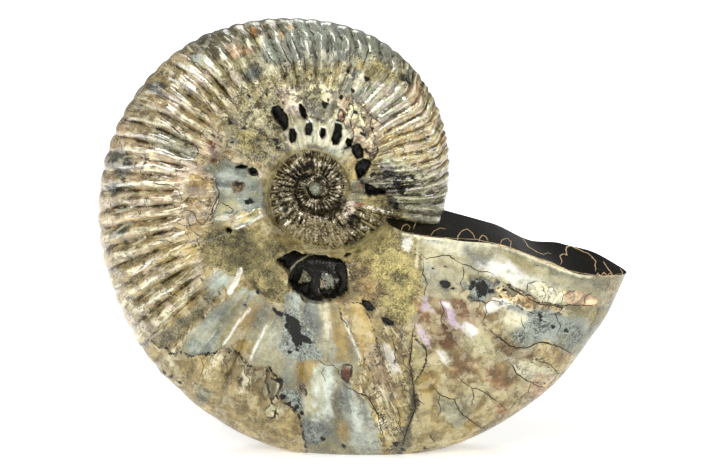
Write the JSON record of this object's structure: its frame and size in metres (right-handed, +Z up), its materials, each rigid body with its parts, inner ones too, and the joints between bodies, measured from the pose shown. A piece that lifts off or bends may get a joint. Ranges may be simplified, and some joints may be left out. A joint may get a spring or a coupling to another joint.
{
  "type": "ammonite fossil",
  "caption": "Polished ammonite shell fossil, a ribbed flat spiral with a sunken centre, sawn through at its open end and standing on a small ground flat.",
  "frame": {"origin": "centre of the box at the level of the ground flat that it stands on", "axes": "+Z up, the coiling axis along Y, the shown side towards -Y and the sawn end towards +X"},
  "size_m": [0.126, 0.0362, 0.1044],
  "materials": {
    "fossil_shell": "polished brown, cream and blue-grey shell with pearly lustre, black mineral in its open pockets and on the sawn end"
  },
  "bodies": {
    "root": {"ammonite": "fossil_shell"}
  },
  "joints": []
}
